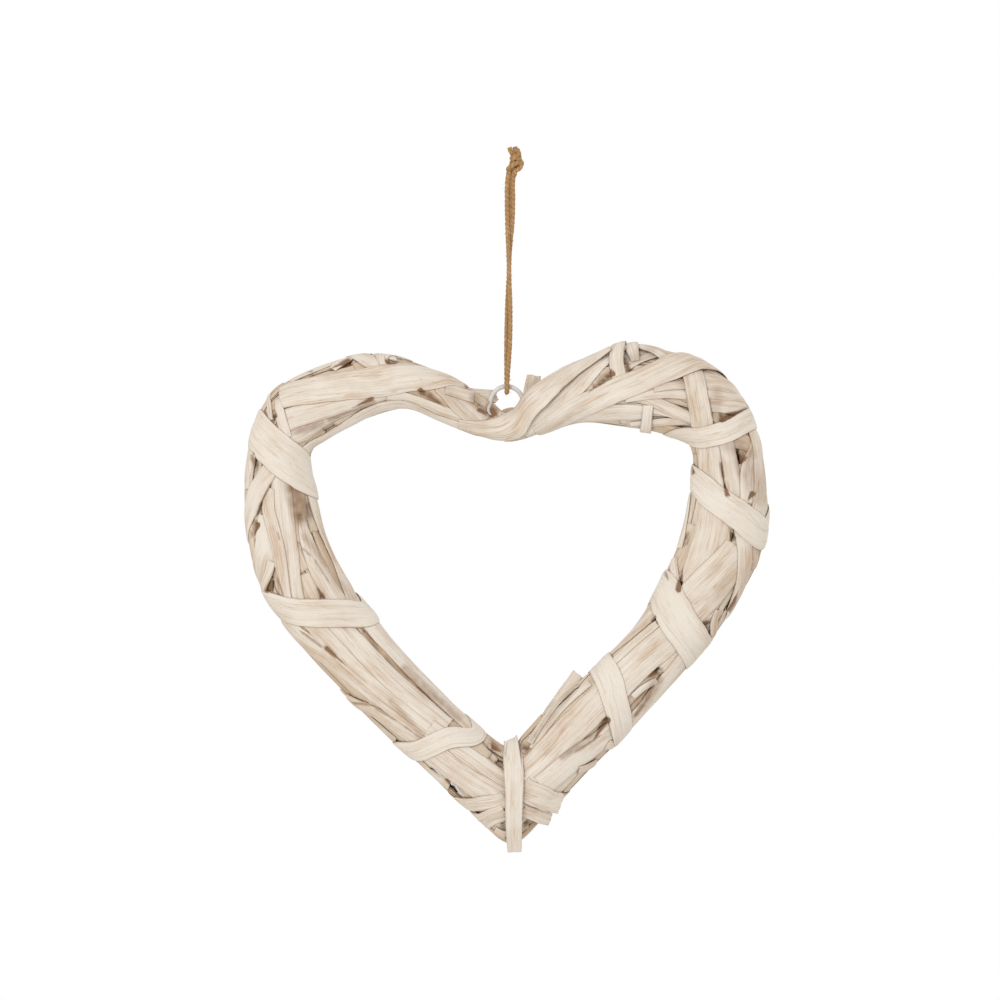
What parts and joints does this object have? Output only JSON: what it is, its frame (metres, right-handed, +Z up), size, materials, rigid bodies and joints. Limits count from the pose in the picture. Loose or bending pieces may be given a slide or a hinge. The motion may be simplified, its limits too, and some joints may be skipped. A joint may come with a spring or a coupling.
{
  "type": "heart wall decoration",
  "caption": "Heart wreath of whitewashed husk strips wound round a bent wire, with a wire eye and a knotted jute string to hang it by.",
  "frame": {"origin": "the nail in the string's loop, just under the knot", "axes": "+X to the right seen from the front, +Z up, +Y towards the wall"},
  "size_m": [0.2967, 0.042, 0.3985],
  "materials": {
    "husk": "dry flat plant husk, whitewashed, with tan fibres showing through",
    "husk_inner": "the same husk lying deeper, less whitewash and more brown",
    "painted_wire": "steel wire in thin off-white paint, satin",
    "jute": "twisted natural jute, hairy and matt"
  },
  "bodies": {
    "root": {"strand_left_low_outer": "husk", "strand_left_low_middle": "husk", "strand_left_low_inner": "husk", "strand_left_low_rim": "husk", "strand_left_low_edge": "husk", "strand_left_outer": "husk", "strand_left_middle": "husk", "strand_left_inner": "husk", "strand_left_rim": "husk", "strand_left_shoulder": "husk", "fan_left_lower": "husk", "fan_left_upper": "husk", "lobe_left_inner_strand": "husk", "lobe_left_outer_strand": "husk", "valley_left_strand": "husk", "lobe_left_rim": "husk", "lobe_left_crest": "husk", "strand_right_low_middle": "husk", "strand_right_middle": "husk", "strand_right_low_edge": "husk", "strand_right_edge": "husk", "strand_right_rim": "husk", "loose_end": "husk", "strand_right_outer": "husk", "strand_right_high": "husk", "strand_right_high_rim": "husk", "lobe_right_strand": "husk", "lobe_right_middle_strand": "husk", "lobe_right_outer_strand": "husk", "fan_right": "husk", "lobe_right_rim": "husk", "lobe_right_upper_band": "husk", "lobe_right_lower_band": "husk", "strand_right_cross": "husk", "valley_right_strand": "husk", "crest_right": "husk", "valley_band": "husk", "crown_right": "husk", "lobe_right_vertical": "husk", "crown_left": "husk", "elbow_right_wrap": "husk", "limb_right_wrap_upper": "husk", "limb_right_wrap_middle": "husk", "limb_right_wrap_lower": "husk", "tip_left_upper": "husk", "tip_left_lower": "husk", "tip_left_edge": "husk", "tip_left_end": "husk", "tip_right_band": "husk", "limb_left_wrap_middle": "husk", "limb_left_wrap_lower": "husk", "point_band": "husk", "shoulder_left": "husk", "husk_bundle": "husk_inner", "frame_wire": "painted_wire", "hanging_ring": "painted_wire", "hanging_string": "jute", "string_knot": "jute"}
  },
  "joints": []
}
